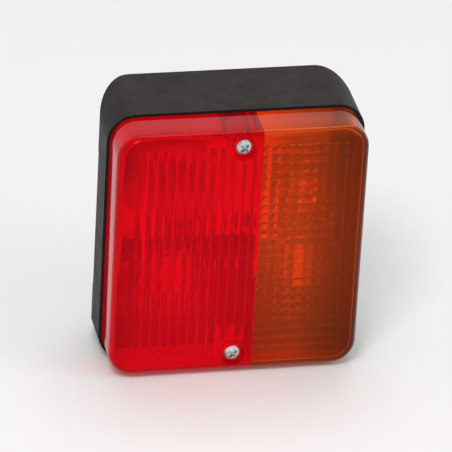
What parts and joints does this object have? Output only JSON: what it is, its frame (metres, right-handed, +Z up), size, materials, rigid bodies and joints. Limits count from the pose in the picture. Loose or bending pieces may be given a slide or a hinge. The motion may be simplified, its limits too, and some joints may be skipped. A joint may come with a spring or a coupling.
{
  "type": "rear combination lamp",
  "caption": "Square trailer rear lamp: black housing, welded red and amber lens, bayonet bulbs, plate-light window, rear studs and cable grommet.",
  "frame": {"origin": "on the mounting face, midway between the two mounting bolts", "axes": "-Y out of the lens towards the viewer behind the vehicle, +Y along the mounting bolts, +Z up, +X to the outer side of an offside lamp"},
  "size_m": [0.098, 0.07, 0.105],
  "materials": {
    "housing": "moulded black, fine grain",
    "red_lens": "clear moulded, coloured through",
    "amber_lens": "clear moulded, coloured through",
    "window": "clear moulded",
    "seal_rubber": "extruded",
    "lens_screws": "zinc plated",
    "reflector": "vacuum metallised",
    "sockets": "zinc plated, pressed",
    "contacts": "pressed strip",
    "earth_steel": "zinc plated, pressed",
    "terminal_screws": "plated",
    "bulb_glass": "blown, clear",
    "bulb_caps": "plated",
    "bulb_insulators": "black glass",
    "solder": "solder",
    "filaments": "drawn wire",
    "bolts": "zinc plated",
    "grommet_rubber": "moulded"
  },
  "bodies": {
    "root": {"base_housing": "housing", "lens_red": "red_lens", "lens_amber": "amber_lens", "plate_window": "window", "lens_seal": "seal_rubber", "lens_screw_upper": "lens_screws", "lens_screw_lower": "lens_screws", "reflector": "reflector", "indicator_socket": "sockets", "stop_tail_socket": "sockets", "indicator_contact": "contacts", "stop_contact": "contacts", "tail_contact": "contacts", "earth_strip": "earth_steel", "terminal_screw_indicator": "terminal_screws", "terminal_screw_stop": "terminal_screws", "terminal_screw_tail": "terminal_screws", "terminal_screw_earth": "terminal_screws", "indicator_bulb_glass": "bulb_glass", "indicator_bulb_cap": "bulb_caps", "indicator_bulb_insulator": "bulb_insulators", "indicator_bulb_contact": "solder", "indicator_bulb_filament": "filaments", "stop_tail_bulb_glass": "bulb_glass", "stop_tail_bulb_cap": "bulb_caps", "stop_tail_bulb_insulator": "bulb_insulators", "stop_tail_bulb_contacts": "solder", "stop_tail_bulb_filaments": "filaments", "mounting_bolt_left": "bolts", "mounting_bolt_right": "bolts", "cable_grommet": "grommet_rubber"}
  },
  "joints": []
}
